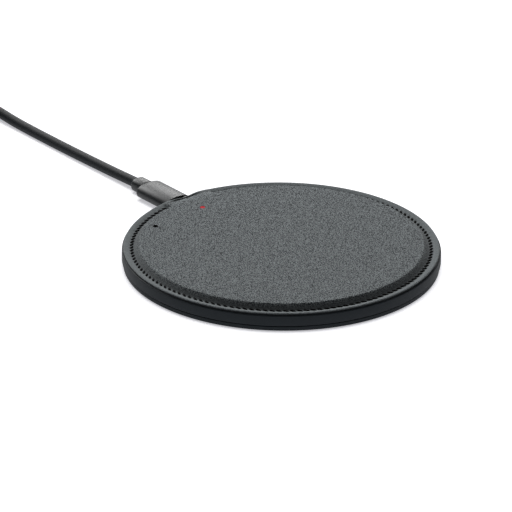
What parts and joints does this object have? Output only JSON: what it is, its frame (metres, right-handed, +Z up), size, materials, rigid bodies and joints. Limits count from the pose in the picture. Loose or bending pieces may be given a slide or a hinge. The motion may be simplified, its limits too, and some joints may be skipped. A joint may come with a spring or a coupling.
{
  "type": "wireless charging pad",
  "caption": "Round wireless charging pad with a stitched soft grey top, dark plastic shell, side connector and a plug-in lead whose spare length is wound in a tied coil.",
  "frame": {"origin": "pad's own axis, on the surface that the anti-slip ring stands on", "axes": "+Z up out of the charging surface, +Y out through the connector and along the lead, +X to the right seen from the pad looking along the lead"},
  "size_m": [0.1027, 0.2422, 0.0088],
  "materials": {
    "skin": "matt suede-like recycled leather, fine grain",
    "thread": "black polyester sewing thread",
    "foam": "dark open-cell foam",
    "shell_plastic": "fine-textured charcoal ABS",
    "silicone": "matt black silicone",
    "label_film": "blank grey polyester film",
    "screw_steel": "zinc-plated steel",
    "connector_steel": "stamped stainless steel",
    "ferrite": "sintered ferrite",
    "copper_wire": "enamelled copper litz wire",
    "board_laminate": "green solder mask on glass-fibre laminate",
    "chip_resin": "black epoxy",
    "capacitor_ceramic": "tan ceramic body",
    "led_package": "white light-emitting diode package",
    "red_light": "lit red light guide",
    "clear_light_guide": "clear acrylic, unlit",
    "connector_plastic": "black liquid-crystal polymer",
    "nickel_plate": "nickel-plated steel",
    "gold_contact": "gold-plated contact",
    "plug_plastic": "satin charcoal thermoplastic elastomer",
    "cord_jacket": "satin charcoal cord jacket",
    "hook_loop_tape": "black hook-and-loop tape",
    "insulator_plastic": "white insulator"
  },
  "bodies": {
    "pad": {"anti_slip_ring": "silicone", "base_shell": "shell_plastic", "blank_label": "label_film", "bridge_mosfet_1": "chip_resin", "bridge_mosfet_2": "chip_resin", "case_screw_1": "screw_steel", "case_screw_2": "screw_steel", "case_screw_3": "screw_steel", "case_screw_4": "screw_steel", "charging_coil": "copper_wire", "circuit_board": "board_laminate", "coil_lead_inner": "copper_wire", "coil_lead_outer": "copper_wire", "controller_ic": "chip_resin", "ferrite_sheet": "ferrite", "foam_pad": "foam", "input_capacitor_1": "capacitor_ceramic", "input_capacitor_2": "capacitor_ceramic", "power_inductor": "chip_resin", "power_led": "led_package", "power_light_pipe": "red_light", "receptacle_shell": "connector_steel", "receptacle_tongue": "connector_plastic", "resonant_capacitor_1": "capacitor_ceramic", "resonant_capacitor_2": "capacitor_ceramic", "resonant_capacitor_3": "capacitor_ceramic", "resonant_capacitor_4": "capacitor_ceramic", "sense_resistor": "chip_resin", "status_led": "led_package", "status_light_pipe": "clear_light_guide", "stitching": "thread", "thermistor": "chip_resin", "top_shell": "shell_plastic", "top_skin": "skin"},
    "lead": {"cord": "cord_jacket", "cord_coil": "cord_jacket", "cord_tail": "cord_jacket", "cord_tie": "hook_loop_tape", "usb_a_contact_1": "gold_contact", "usb_a_contact_2": "gold_contact", "usb_a_contact_3": "gold_contact", "usb_a_contact_4": "gold_contact", "usb_a_insulator": "insulator_plastic", "usb_a_overmould": "plug_plastic", "usb_a_shell": "nickel_plate", "usb_a_strain_relief": "plug_plastic", "usb_c_contacts_lower": "gold_contact", "usb_c_contacts_upper": "gold_contact", "usb_c_insert": "connector_plastic", "usb_c_overmould": "plug_plastic", "usb_c_shell": "nickel_plate", "usb_c_strain_relief": "plug_plastic"}
  },
  "joints": [
    {"name": "lead_unplug", "type": "slide", "parent": "pad", "child": "lead", "axis": [0, 1, 0], "range_m": [0, 0.012]}
  ]
}
